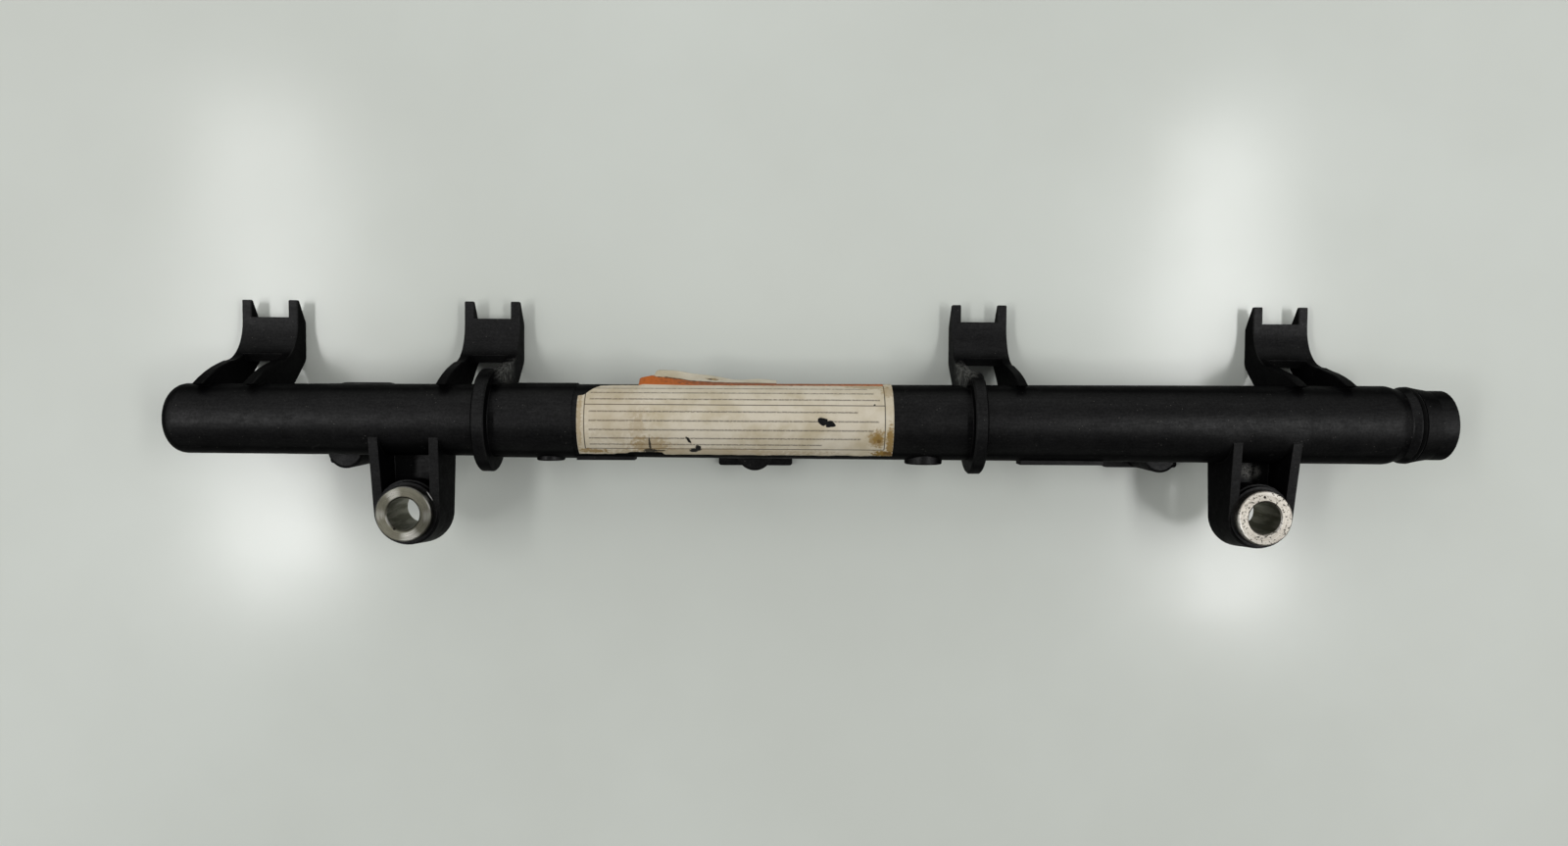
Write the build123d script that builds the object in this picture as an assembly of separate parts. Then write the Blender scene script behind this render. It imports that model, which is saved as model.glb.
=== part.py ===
from build123d import *
import os
from math import atan2, cos, degrees, radians, sin, sqrt

# Fuel rail of a three-cylinder engine, moulded in one piece. Sizes are in millimetres.
# The origin is the mouth centre of the middle injector socket, on the resting plane.
# +X runs along the rail to the inlet, +Y to the harness forks and +Z up.

# Tube
tube_axis_z = 26.5
closed_end_x = -150.8
closed_end_radius = 9.05
closed_end_rounding = 4.0
shoulder_x = 165.5
shoulder_radius = 10.35
shoulder_rounding = 4.5
wall = 2.9

# Inlet spigot
neck_x = 168.3
neck_radius = 9.45
neck_length = 0.3
bead_radius = 10.1
bead_slope = 1.6
bead_length = 1.9
seal_section_radius = 0.72
seal_seat_radius = 8.71
seal_side_clearance = 0.05
lead_in_radius = 9.95
lead_in_length = 4.5
nose_radius = 9.15
open_end_x = 180.5
port_radius = 6.7
port_depth = 12.0
port_lead_in = 0.8

# Raised band and flange rings on the tube
band_height = 0.35
band_end_x = -46.2
ring_radius = 13.4
ring_thickness = 3.3
ring_x = (-69.1, 57.4)
ring_edge = 0.4

# Injector sockets
injector_pitch = 110.0
socket_radius = 9.25
socket_bore_radius = 6.8
socket_bore_depth = 13.0
feed_radius = 3.0
flange_half_length = 10.45
flange_front_y = -13.5
flange_back_y = 9.4
flange_thickness = 1.9
flange_back_corner = 5.0
flange_front_corner = 0.8
lug_radius = 4.8
lug_front_y = -13.65
lug_top_z = 18.0
lug_top_edge = 0.6

# Bolt brackets
bolt_pitch = 220.0
bolt_row_shift = 21.1
bolt_row_y = -23.7
bush_radius = 7.05
bush_bore_radius = 4.15
bush_top_z = 35.4
bush_stand_out = 2.4
bush_foot = 1.4
bush_bore_chamfer = 0.35
bush_edge_chamfer = 0.25
bracket_bottom_z = 20.1
boss_radius = 8.7
boss_top_radius = 8.4
boss_top_z = 31.2
boss_foot_reach = 0.75
collar_wall = 0.9
bracket_root_half_width = 9.25
bracket_root_y = -4.0
bracket_root_rise = 0.2
bracket_draft = 1.5
rib_thickness = 2.75
pocket_floor_thickness = 2.7

# Harness forks
fork_x = (-135.3, -73.6, 62.6, 147.7)
plate_thickness = 2.6
plate_edge = 0.25
fork_gap = 10.2
cradle_radius = 11.2
cradle_y = 26.3
cradle_z = 16.8
saddle_thickness = 2.6
saddle_lip_z = 10.3
prong_root_y = 27.4
prong_tip_y = 32.15
prong_tip_depth = 1.1
fork_shoulder_y = 14.3
fork_shoulder_z = 20.0
fork_root_inset = 0.1
fork_root_z = 33.0
fork_end_inset = 0.7
fork_end_z = 29.0
fork_bulge = 0.45
heel_y = 15.4
heel_rounding = 3.0
toe_y = 26.2
toe_rounding = 1.0
fork_back_y = 2.0
fork_back_z = 16.2

# Low details on the front flank of the tube
button_x = (-53.1, 44.3)
button_radius = (3.65, 4.9)
button_height = (0.95, 1.0)
button_edge = 0.25
pad_start_x = (-46.0, 69.4)
pad_length = (15.0, 21.7)
pad_height = (0.65, 0.85)
pad_width = 5.0

# Paper label round the tube. Angles are measured from the top of the tube.
label_start_x = -44.9
label_length = 80.4
label_thickness = 0.15
label_clearance = 0.03
label_front_angle = 59.0
peel_angle = 62.0
peel_start_x = -29.9
peel_end_x = 9.3
peel_reach = 9.3
peel_left_reach = 7.1
peel_right_reach = 5.3
peel_peak_distance = 3.6
peel_slit = 0.5
crease_width = 0.8
crease_rise = 0.03
rear_angle = 125.0
torn_corner_length = 5.2
torn_corner_bend = 3.7
torn_corner_top_z = 35.0
torn_corner_bend_z = 33.0
tear_start_x = -34.2
tear_length = 11.0
tear_depth = 1.3
tear_margin = 1.0
label_hole_x = 18.3
label_hole_length = 4.5
label_hole_width = 2.2

tube_axis = Axis((0, 0, tube_axis_z), (1, 0, 0))
tube_taper = (shoulder_radius - closed_end_radius) / (shoulder_x - closed_end_x)
socket_x = (-injector_pitch, 0.0, injector_pitch)
bolt_x = (bolt_row_shift - bolt_pitch / 2, bolt_row_shift + bolt_pitch / 2)
upright = (Align.CENTER, Align.CENTER, Align.MIN)


def tube_radius(x):
    return closed_end_radius + (x - closed_end_x) * tube_taper


# A face drawn above the tube's axis, turned about it from an angle measured from the top.
# A full turn starts at the bottom, where its seam is out of sight.
def turned_face(face, start_angle=180.0, angle=360.0):
    return revolve(Plane.XZ * Pos(0, tube_axis_z) * face, tube_axis, angle).rotate(tube_axis, start_angle)


# The same from points given as (x, radius)
def turned(points, start_angle=180.0, angle=360.0):
    return turned_face(make_face(Polyline(*points, close=True)), start_angle, angle)


# A plate standing across the rail, from a face drawn in (y, z)
def across(face, x, thickness):
    return extrude(Plane((x, 0, 0), x_dir=(0, 1, 0), z_dir=(1, 0, 0)) * face, thickness, dir=(1, 0, 0))


# The corner of a face that is nearest to a point
def corner_at(face, x, y):
    return face.vertices().sort_by_distance((x, y))[0]


# The places of the spigot's steps: start of the bead, start of the seal's groove, and its end
def spigot_steps():
    bead_x = neck_x + neck_length
    groove_x = bead_x + bead_length
    groove_width = 2 * (seal_section_radius + seal_side_clearance)
    return bead_x, groove_x, groove_x + groove_width


def tube_outside():
    bead_x, groove_x, lead_in_x = spigot_steps()
    points = [
        (closed_end_x, 0),
        (closed_end_x, closed_end_radius),
        (shoulder_x, shoulder_radius),
        (neck_x, neck_radius),
        (bead_x, neck_radius),
        (bead_x + bead_slope, bead_radius),
        (groove_x, bead_radius),
        (groove_x, seal_seat_radius),
        (lead_in_x, seal_seat_radius),
        (lead_in_x, lead_in_radius),
        (lead_in_x + lead_in_length, nose_radius),
        (open_end_x, nose_radius),
        (open_end_x, 0),
    ]
    face = make_face(Polyline(*points, close=True))
    face = fillet(corner_at(face, closed_end_x, closed_end_radius), closed_end_rounding)
    face = fillet(corner_at(face, shoulder_x, shoulder_radius), shoulder_rounding)
    return turned_face(face)


def fuel_channel():
    near_x = open_end_x - port_depth
    near_radius = min(port_radius, neck_radius - wall)
    return turned([
        (closed_end_x + wall, 0),
        (closed_end_x + wall, closed_end_radius - wall),
        (near_x, near_radius),
        (near_x, port_radius),
        (open_end_x - port_lead_in, port_radius),
        (open_end_x, port_radius + port_lead_in),
        (open_end_x, 0),
    ])


def raised_band():
    start_x = ring_x[0]
    return turned([
        (start_x, 0),
        (start_x, tube_radius(start_x) + band_height),
        (band_end_x, tube_radius(band_end_x) + band_height),
        (band_end_x, 0),
    ])


def flange_ring(x):
    ring = Pos(x, 0, tube_axis_z) * Rot(0, 90, 0) * Cylinder(ring_radius, ring_thickness)
    return chamfer(ring.edges().filter_by(GeomType.CIRCLE), ring_edge)


# A column under the tube, with its mouth flange and a half-round lug in front
def injector_socket(x):
    column = Pos(x, 0, 0) * Cylinder(socket_radius, tube_axis_z, align=upright)
    depth = flange_back_y - flange_front_y
    plate = Rectangle(2 * flange_half_length, depth, align=(Align.CENTER, Align.MIN))
    plate = fillet(plate.vertices().group_by(Axis.Y)[-1], flange_back_corner)
    plate = fillet(plate.vertices().group_by(Axis.Y)[0], flange_front_corner)
    flange = extrude(Pos(x, flange_front_y, 0) * plate, flange_thickness)
    foot_z = flange_thickness / 2
    lug = Pos(x, lug_front_y + lug_radius, foot_z) * Cylinder(lug_radius, lug_top_z - foot_z, align=upright)
    lug = chamfer(lug.edges().group_by(Axis.Z)[-1], lug_top_edge)
    return column + flange + lug


def socket_bore(x):
    bore = Cylinder(socket_bore_radius, socket_bore_depth, align=upright)
    feed = Cylinder(feed_radius, tube_axis_z, align=upright)
    return Pos(x, 0, 0) * (bore + feed)


# Seen from above, a bracket's sides run from the tube to the middle of its boss
def bracket_sides(x, inset):
    root = bracket_root_half_width - inset
    end = boss_radius - inset
    return Pos(x, 0) * make_face(Polyline(
        (-end, bolt_row_y), (end, bolt_row_y), (root, bracket_root_y), (-root, bracket_root_y), close=True
    ))


# A bracket is a drafted block round the bush, with a pocket between two side ribs
def bolt_bracket(x):
    base = Pos(0, 0, bracket_bottom_z)
    root_z = bracket_root_rise + tube_axis_z + sqrt(tube_radius(x) ** 2 - bracket_root_y ** 2)
    front_y = bolt_row_y - boss_radius
    height = root_z - bracket_bottom_z
    outline = bracket_sides(x, 0) + Pos(x, bolt_row_y) * Circle(boss_radius)
    block = extrude(base * outline, height, taper=bracket_draft)
    side_view = make_face(Polyline(
        (bracket_root_y, bracket_bottom_z),
        (bracket_root_y, root_z),
        (front_y, boss_top_z),
        (front_y, bracket_bottom_z),
        close=True,
    ))
    half_width = bracket_root_half_width + boss_radius
    block = block & across(side_view, x - half_width, 2 * half_width)
    pocket = extrude(Pos(0, 0, pocket_floor_thickness) * base * bracket_sides(x, rib_thickness), height)
    boss_foot = base * Pos(x, bolt_row_y - boss_foot_reach) * Circle(boss_radius)
    boss_top = Pos(x, bolt_row_y, boss_top_z) * Circle(boss_top_radius)
    collar = bolt_cylinder(x, bush_radius + collar_wall, bush_top_z - bush_stand_out)
    return block - pocket + loft([boss_foot, boss_top]) + collar


# A cylinder on a bolt's axis that starts at the bracket's underside
def bolt_cylinder(x, radius, top_z):
    return Pos(x, bolt_row_y, bracket_bottom_z) * Cylinder(radius, top_z - bracket_bottom_z, align=upright)


# Outline of a fork's side plate: the upper edge drops from the tube to a shoulder, follows
# the cradle to the prong, and the lower edge has a flat foot and runs back under the tube
def plate_outline(radius):
    root = (radius - fork_root_inset, fork_root_z)
    shoulder = (fork_shoulder_y, fork_shoulder_z)
    bulge = ((root[0] + shoulder[0]) / 2 + fork_bulge, (root[1] + shoulder[1]) / 2 + fork_bulge / 2)
    diagonal = cradle_radius * sqrt(0.5)
    prong_top_z = cradle_z - cradle_radius
    prong_bottom_z = prong_top_z - prong_tip_depth
    edges = [
        ThreePointArc(root, bulge, shoulder),
        Line(shoulder, (cradle_y - cradle_radius, cradle_z)),
        ThreePointArc(
            (cradle_y - cradle_radius, cradle_z),
            (cradle_y - diagonal, cradle_z - diagonal),
            (cradle_y, prong_top_z),
        ),
        Polyline(
            (cradle_y, prong_top_z),
            (prong_tip_y, prong_top_z),
            (prong_tip_y, prong_bottom_z),
            (toe_y, 0),
            (heel_y, 0),
            (fork_back_y, fork_back_z),
            (fork_back_y, tube_axis_z),
            (radius - fork_end_inset, fork_end_z),
            root,
        ),
    ]
    face = make_face(edges)
    face = fillet(corner_at(face, toe_y, 0), toe_rounding)
    return fillet(corner_at(face, heel_y, 0), heel_rounding)


def side_plate(x):
    plate = across(plate_outline(tube_radius(x)), x, plate_thickness)
    return chamfer(plate.faces().filter_by(Axis.X).edges(), plate_edge)


# The saddle follows the cradle between the plates, from its upper lip to the prong roots
def saddle(x):
    outer = cradle_radius + saddle_thickness
    lip_reach = sqrt(cradle_radius ** 2 - (cradle_z - saddle_lip_z) ** 2)
    lip_angle = 360 + degrees(atan2(saddle_lip_z - cradle_z, -lip_reach))
    low_angle = 270.0
    middle_angle = (lip_angle + low_angle) / 2

    def point(radius, angle):
        return (cradle_y + radius * cos(radians(angle)), cradle_z + radius * sin(radians(angle)))

    def arc(radius):
        return ThreePointArc(point(radius, lip_angle), point(radius, middle_angle), point(radius, low_angle))

    edges = [
        arc(cradle_radius),
        Polyline(
            point(cradle_radius, low_angle),
            (prong_root_y, cradle_z - cradle_radius),
            (prong_root_y, cradle_z - outer),
            point(outer, low_angle),
        ),
        arc(outer),
        Line(point(outer, lip_angle), point(cradle_radius, lip_angle)),
    ]
    return across(make_face(edges), x - fork_gap / 2 - plate_edge, fork_gap + 2 * plate_edge)


def harness_fork(x):
    plates = side_plate(x - fork_gap / 2 - plate_thickness) + side_plate(x + fork_gap / 2)
    return plates + saddle(x)


# A round button on the front flank, level with the tube's axis
def flank_button(x, radius, height):
    button = Pos(x, 0, tube_axis_z) * Rot(90, 0, 0) * Cylinder(radius, tube_radius(x) + height, align=upright)
    return chamfer(button.edges().group_by(Axis.Y)[0], button_edge)


def flank_pad(start_x, length, height):
    middle_x = start_x + length / 2
    depth = tube_radius(middle_x) + height
    return Pos(middle_x, -depth / 2, tube_axis_z) * Box(length, depth, pad_width)


def rail_body():
    body = tube_outside() + raised_band()
    for x in ring_x:
        body += flange_ring(x)
    for x in fork_x:
        body += harness_fork(x)
    for x in bolt_x:
        body += bolt_bracket(x)
    for x in socket_x:
        body += injector_socket(x)
    for x, radius, height in zip(button_x, button_radius, button_height):
        body += flank_button(x, radius, height)
    for start_x, length, height in zip(pad_start_x, pad_length, pad_height):
        body += flank_pad(start_x, length, height)
    body -= fuel_channel()
    for x in socket_x:
        body -= socket_bore(x)
    for x in bolt_x:
        body -= bolt_cylinder(x, bush_radius, bush_top_z)
    return body


# A bush stands out of its collar at the top and out of the bracket at its foot
def bolt_bush(x):
    foot_z = bracket_bottom_z - bush_foot
    outline = Polyline(
        (bush_bore_radius, foot_z + bush_bore_chamfer),
        (bush_bore_radius, bush_top_z - bush_bore_chamfer),
        (bush_bore_radius + bush_bore_chamfer, bush_top_z),
        (bush_radius - bush_edge_chamfer, bush_top_z),
        (bush_radius, bush_top_z - bush_edge_chamfer),
        (bush_radius, foot_z + bush_edge_chamfer),
        (bush_radius - bush_edge_chamfer, foot_z),
        (bush_bore_radius + bush_bore_chamfer, foot_z),
        close=True,
    )
    return Pos(x, bolt_row_y) * revolve(Plane.XZ * make_face(outline), Axis.Z)


def seal_ring():
    groove_x, lead_in_x = spigot_steps()[1:]
    ring_middle = seal_seat_radius + seal_section_radius
    ring = Torus(ring_middle, seal_section_radius)
    return Pos((groove_x + lead_in_x) / 2, 0, tube_axis_z) * Rot(0, 90, 0) * ring


# Paper that lies on the tube, from an angle on the back of the tube towards the front
def wrapped_paper(start_x, back_angle, front_angle):
    end_x = label_start_x + label_length
    start_radius = tube_radius(start_x) + label_clearance
    end_radius = tube_radius(end_x) + label_clearance
    return turned([
        (start_x, start_radius),
        (end_x, end_radius),
        (end_x, end_radius + label_thickness),
        (start_x, start_radius + label_thickness),
    ], -back_angle, front_angle + back_angle)


# The lifted flap leaves the tube along its tangent plane at the peel line. It is torn free of
# the paper beside it, and its crease stands a little higher than the paper that still sticks.
def lifted_flap():
    turn = radians(peel_angle)
    start_radius = tube_radius(peel_start_x) + label_clearance + crease_rise
    plane = Plane(
        origin=(peel_start_x, start_radius * sin(turn), tube_axis_z + start_radius * cos(turn)),
        x_dir=(1, tube_taper * sin(turn), tube_taper * cos(turn)),
        z_dir=(-tube_taper, sin(turn), cos(turn)),
    )
    length = peel_end_x - peel_start_x - peel_slit
    outline = Polyline(
        (0, -crease_width), (length, -crease_width), (length, peel_right_reach),
        (peel_peak_distance, peel_reach), (0, peel_left_reach), close=True
    )
    return extrude(plane * make_face(outline), label_thickness, dir=plane.z_dir)


# A cut seen from the side, from points given as (x, z), from the axis out towards +Y or -Y
def side_cut(points, direction):
    face = Plane.XZ * make_face(Polyline(*points, close=True))
    return extrude(face, 2 * shoulder_radius, dir=(0, direction, 0))


def paper_label():
    outside_x = label_start_x - tear_margin
    peel_z = tube_axis_z + tube_radius(label_start_x) * cos(radians(peel_angle))
    label = wrapped_paper(label_start_x, peel_angle, label_front_angle)
    label += wrapped_paper(peel_end_x, rear_angle, -peel_angle)
    label += lifted_flap()
    label -= side_cut([
        (outside_x, torn_corner_top_z),
        (label_start_x, torn_corner_top_z),
        (label_start_x + torn_corner_bend, torn_corner_bend_z),
        (label_start_x + torn_corner_length, peel_z - tear_margin),
        (outside_x, peel_z - tear_margin),
    ], 1)
    edge_z = tube_axis_z + tube_radius(tear_start_x) * cos(radians(label_front_angle))
    label -= side_cut([
        (tear_start_x, edge_z - tear_margin),
        (tear_start_x + tear_length / 3, edge_z + tear_depth),
        (tear_start_x + tear_length * 2 / 3, edge_z + tear_depth * 2 / 3),
        (tear_start_x + tear_length, edge_z - tear_margin),
    ], -1)
    hole = Pos(label_hole_x, 0, tube_axis_z) * Ellipse(label_hole_length / 2, label_hole_width / 2)
    return label - extrude(hole, 2 * shoulder_radius)


parts = {
    "rail_body": rail_body(),
    "left_bush": bolt_bush(bolt_x[0]),
    "right_bush": bolt_bush(bolt_x[1]),
    "seal_ring": seal_ring(),
    "paper_label": paper_label(),
}

os.makedirs("parts", exist_ok=True)
for name, shape in parts.items():
    shape.label = name
    export_step(shape, f"parts/{name}.step")
    print(name, "solids", len(shape.solids()), "volume", round(shape.volume, 2), "box", shape.bounding_box())
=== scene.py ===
import bpy
import math
from mathutils import Matrix, Vector, noise


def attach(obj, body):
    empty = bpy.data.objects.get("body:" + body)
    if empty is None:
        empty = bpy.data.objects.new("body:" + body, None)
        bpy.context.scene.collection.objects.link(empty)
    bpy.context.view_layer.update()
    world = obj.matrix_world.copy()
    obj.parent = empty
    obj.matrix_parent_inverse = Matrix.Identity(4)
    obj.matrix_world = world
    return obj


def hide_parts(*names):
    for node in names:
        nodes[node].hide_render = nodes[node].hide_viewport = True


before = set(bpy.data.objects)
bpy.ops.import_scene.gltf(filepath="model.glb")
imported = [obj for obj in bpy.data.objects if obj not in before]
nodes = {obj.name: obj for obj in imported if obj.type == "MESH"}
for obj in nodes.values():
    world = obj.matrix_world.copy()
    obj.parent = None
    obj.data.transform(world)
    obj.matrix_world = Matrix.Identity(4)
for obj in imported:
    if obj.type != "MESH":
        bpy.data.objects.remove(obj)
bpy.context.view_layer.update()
mm = 0.001
print("frame loaded:", ", ".join(sorted(nodes)))


# Small helpers for shader trees. A value may be a number, a vector or another node's socket.
def feed(tree, socket, value):
    if isinstance(value, bpy.types.NodeSocket):
        tree.links.new(value, socket)
    else:
        socket.default_value = value


def calc(tree, operation, *values, clamp=False):
    node = tree.nodes.new("ShaderNodeMath")
    node.operation = operation
    node.use_clamp = clamp
    for socket, value in zip(node.inputs, values):
        feed(tree, socket, value)
    return node.outputs[0]


def times(tree, first, second):
    return calc(tree, "MULTIPLY", first, second)


def inverted(tree, mask):
    return calc(tree, "SUBTRACT", 1.0, mask)


def vectorCalc(tree, operation, *values):
    node = tree.nodes.new("ShaderNodeVectorMath")
    node.operation = operation
    for socket, value in zip(node.inputs, values):
        feed(tree, socket, value)
    return node.outputs["Value" if operation in ("LENGTH", "DOT_PRODUCT") else "Vector"]


def stretched(tree, place, stretch):
    return vectorCalc(tree, "MULTIPLY", place, stretch)


# A smooth step from one range of values to another
def spread(tree, value, fromLow, fromHigh, toLow=0.0, toHigh=1.0):
    node = tree.nodes.new("ShaderNodeMapRange")
    node.interpolation_type = "SMOOTHSTEP"
    for socket, amount in zip(node.inputs, (value, fromLow, fromHigh, toLow, toHigh)):
        feed(tree, socket, amount)
    return node.outputs["Result"]


noiseRange = (0.3, 0.7)


# Most of a noise lies inside noiseRange, so this lets a value wander between a low and a high one.
def varied(tree, value, low, high):
    return spread(tree, value, *noiseRange, low, high)


def mixed(tree, amount, first, second):
    node = tree.nodes.new("ShaderNodeMix")
    node.data_type = "RGBA"
    feed(tree, node.inputs["Factor"], amount)
    feed(tree, node.inputs["A"], first)
    feed(tree, node.inputs["B"], second)
    return node.outputs["Result"]


# A noise in the dictionaries below is (scale, detail, roughness), with its distortion last where it has one.
def cloudy(tree, place, scale, detail=4.0, roughness=0.55, distortion=0.0):
    node = tree.nodes.new("ShaderNodeTexNoise")
    feed(tree, node.inputs["Vector"], place)
    feed(tree, node.inputs["Scale"], scale)
    feed(tree, node.inputs["Detail"], detail)
    feed(tree, node.inputs["Roughness"], roughness)
    feed(tree, node.inputs["Distortion"], distortion)
    return node.outputs["Fac"]


def newGroup(name, inputs, outputs):
    tree = bpy.data.node_groups.new(name, "ShaderNodeTree")
    kinds = {"value": "NodeSocketFloat", "vector": "NodeSocketVector"}
    for label, kind, start in inputs:
        socket = tree.interface.new_socket(label, in_out="INPUT", socket_type=kinds[kind])
        socket.default_value = start
    for label, kind in outputs:
        tree.interface.new_socket(label, in_out="OUTPUT", socket_type=kinds[kind])
    return tree, tree.nodes.new("NodeGroupInput").outputs, tree.nodes.new("NodeGroupOutput").inputs


def placed(tree, group, **values):
    node = tree.nodes.new("ShaderNodeGroup")
    node.node_tree = group
    for label, value in values.items():
        feed(tree, node.inputs[label], value)
    return node.outputs


# Effects that several materials share
def makePatches():
    tree, given, out = newGroup(
        "softPatches",
        [("Place", "vector", (0, 0, 0)), ("Scale", "value", 60.0), ("Low", "value", 0.4),
         ("High", "value", 0.6)],
        [("Mask", "value")],
    )
    broad = cloudy(tree, given["Place"], given["Scale"], detail=5.0, roughness=0.6)
    feed(tree, out["Mask"], spread(tree, broad, given["Low"], given["High"]))
    return tree


def makeGrain():
    tree, given, out = newGroup(
        "mouldedGrain",
        [("Place", "vector", (0, 0, 0)), ("Scale", "value", 2500.0)],
        [("Height", "value")],
    )
    coarser = 9.0
    coarseShare = 0.8
    fine = cloudy(tree, given["Place"], given["Scale"], detail=3.0, roughness=0.6)
    coarseScale = calc(tree, "DIVIDE", given["Scale"], coarser)
    coarse = cloudy(tree, given["Place"], coarseScale, detail=2.0, roughness=0.5)
    feed(tree, out["Height"], calc(tree, "ADD", fine, times(tree, coarse, coarseShare)))
    return tree


# A scratch runs where a stretched noise crosses its middle, and shows only inside some patches.
def makeScratches():
    tree, given, out = newGroup(
        "thinScratches",
        [("Place", "vector", (0, 0, 0)), ("Stretch", "vector", (1, 1, 1)), ("Scale", "value", 90.0),
         ("Thickness", "value", 0.004), ("Cover", "value", 0.55)],
        [("Mask", "value")],
    )
    patchScale = 1.7
    patchEdge = 0.08
    pulled = stretched(tree, given["Place"], given["Stretch"])
    field = cloudy(tree, pulled, given["Scale"], detail=1.0, roughness=0.4, distortion=0.6)
    fromLine = calc(tree, "ABSOLUTE", calc(tree, "SUBTRACT", field, 0.5))
    line = inverted(tree, spread(tree, fromLine, 0.0, given["Thickness"]))
    where = cloudy(tree, given["Place"], times(tree, given["Scale"], patchScale), detail=2.0)
    shown = spread(tree, where, given["Cover"], calc(tree, "ADD", given["Cover"], patchEdge))
    feed(tree, out["Mask"], times(tree, line, shown))
    return tree


# Specks and a thin film, on what faces up
def makeDust():
    tree, given, out = newGroup(
        "settledDust",
        [("Place", "vector", (0, 0, 0)), ("Scale", "value", 900.0), ("Amount", "value", 0.5),
         ("Film", "value", 0.03)],
        [("Mask", "value")],
    )
    facesUp = (0.1, 0.95)
    speckEdge = (0.06, 0.16)
    speckPatchScale = 0.35
    speckPatches = (0.52, 0.66)
    filmScale = 0.08
    filmPatches = (0.42, 0.75)
    facing = tree.nodes.new("ShaderNodeNewGeometry").outputs["Normal"]
    upward = spread(tree, vectorCalc(tree, "DOT_PRODUCT", facing, (0, 0, 1)), *facesUp)
    cells = tree.nodes.new("ShaderNodeTexVoronoi")
    feed(tree, cells.inputs["Vector"], given["Place"])
    feed(tree, cells.inputs["Scale"], given["Scale"])
    dots = inverted(tree, spread(tree, cells.outputs["Distance"], *speckEdge))
    where = cloudy(tree, given["Place"], times(tree, given["Scale"], speckPatchScale), detail=2.0)
    specks = times(tree, dots, spread(tree, where, *speckPatches))
    haze = cloudy(tree, given["Place"], times(tree, given["Scale"], filmScale), detail=5.0, roughness=0.7)
    film = times(tree, spread(tree, haze, *filmPatches), given["Film"])
    both = calc(tree, "ADD", times(tree, specks, given["Amount"]), film, clamp=True)
    feed(tree, out["Mask"], times(tree, both, upward))
    return tree


# An edge is where the rounded normal turns away from the face's own.
def makeEdgeWear():
    tree, given, out = newGroup(
        "roundedWornEdges",
        [("Place", "vector", (0, 0, 0)), ("Radius", "value", 0.0003), ("Amount", "value", 0.5)],
        [("Mask", "value"), ("Normal", "vector")],
    )
    edgeTurn = (0.97, 0.75)
    brokenScale = 350.0
    brokenPatches = (0.35, 0.62)
    soft = tree.nodes.new("ShaderNodeBevel")
    soft.samples = 4
    feed(tree, soft.inputs["Radius"], given["Radius"])
    facing = tree.nodes.new("ShaderNodeNewGeometry").outputs["Normal"]
    agree = vectorCalc(tree, "DOT_PRODUCT", soft.outputs["Normal"], facing)
    edge = spread(tree, agree, *edgeTurn)
    broken = cloudy(tree, given["Place"], brokenScale, detail=4.0, roughness=0.65)
    shown = times(tree, edge, spread(tree, broken, *brokenPatches))
    feed(tree, out["Mask"], times(tree, shown, given["Amount"]))
    feed(tree, out["Normal"], soft.outputs["Normal"])
    return tree


# An ellipse with a torn outline. Ragged is the part of its size that the outline strays.
def makeSpot():
    tree, given, out = newGroup(
        "raggedSpot",
        [("Place", "vector", (0, 0, 0)), ("Centre", "vector", (0, 0, 0)), ("Size", "vector", (1, 1, 1)),
         ("Turn", "value", 0.0), ("Ragged", "value", 0.3), ("Scale", "value", 900.0), ("Soft", "value", 0.2)],
        [("Mask", "value")],
    )
    noiseGain = 4.0
    turned = tree.nodes.new("ShaderNodeVectorRotate")
    turned.rotation_type = "Z_AXIS"
    feed(tree, turned.inputs["Vector"], vectorCalc(tree, "SUBTRACT", given["Place"], given["Centre"]))
    feed(tree, turned.inputs["Angle"], times(tree, given["Turn"], -1.0))
    reach = vectorCalc(tree, "LENGTH", vectorCalc(tree, "DIVIDE", turned.outputs["Vector"], given["Size"]))
    torn = cloudy(tree, given["Place"], given["Scale"], detail=3.0, roughness=0.6)
    stray = times(tree, calc(tree, "SUBTRACT", torn, 0.5), times(tree, given["Ragged"], noiseGain))
    edge = calc(tree, "ADD", reach, stray)
    inner = inverted(tree, given["Soft"])
    outer = calc(tree, "ADD", 1.0, given["Soft"])
    feed(tree, out["Mask"], inverted(tree, spread(tree, edge, inner, outer)))
    return tree


def makeBox():
    tree, given, out = newGroup(
        "printedBox",
        [("Place", "vector", (0, 0, 0)), ("Centre", "vector", (0, 0, 0)), ("Half", "vector", (1, 1, 1)),
         ("Soft", "value", 0.05)],
        [("Mask", "value")],
    )
    away = vectorCalc(tree, "ABSOLUTE", vectorCalc(tree, "SUBTRACT", given["Place"], given["Centre"]))
    past = tree.nodes.new("ShaderNodeSeparateXYZ")
    feed(tree, past.inputs[0], vectorCalc(tree, "SUBTRACT", away, given["Half"]))
    outside = calc(tree, "MAXIMUM", past.outputs["X"], past.outputs["Y"])
    inner = times(tree, given["Soft"], -1.0)
    feed(tree, out["Mask"], inverted(tree, spread(tree, outside, inner, given["Soft"])))
    return tree


patches = makePatches()
grain = makeGrain()
scratches = makeScratches()
dust = makeDust()
edgeWear = makeEdgeWear()
spot = makeSpot()
printedBox = makeBox()
print("shared effects built")


def newMaterial(name):
    material = bpy.data.materials.new(name)
    material.use_nodes = True
    tree = material.node_tree
    shader = tree.nodes["Principled BSDF"]
    place = tree.nodes.new("ShaderNodeTexCoord").outputs["Object"]
    return material, tree, shader, place


def bumped(tree, height, strength, distance, normal=None):
    node = tree.nodes.new("ShaderNodeBump")
    node.inputs["Strength"].default_value = strength
    node.inputs["Distance"].default_value = distance
    feed(tree, node.inputs["Height"], height)
    if normal is not None:
        feed(tree, node.inputs["Normal"], normal)
    return node.outputs["Normal"]


def dress(node, material):
    node.data.materials.clear()
    node.data.materials.append(material)


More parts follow.
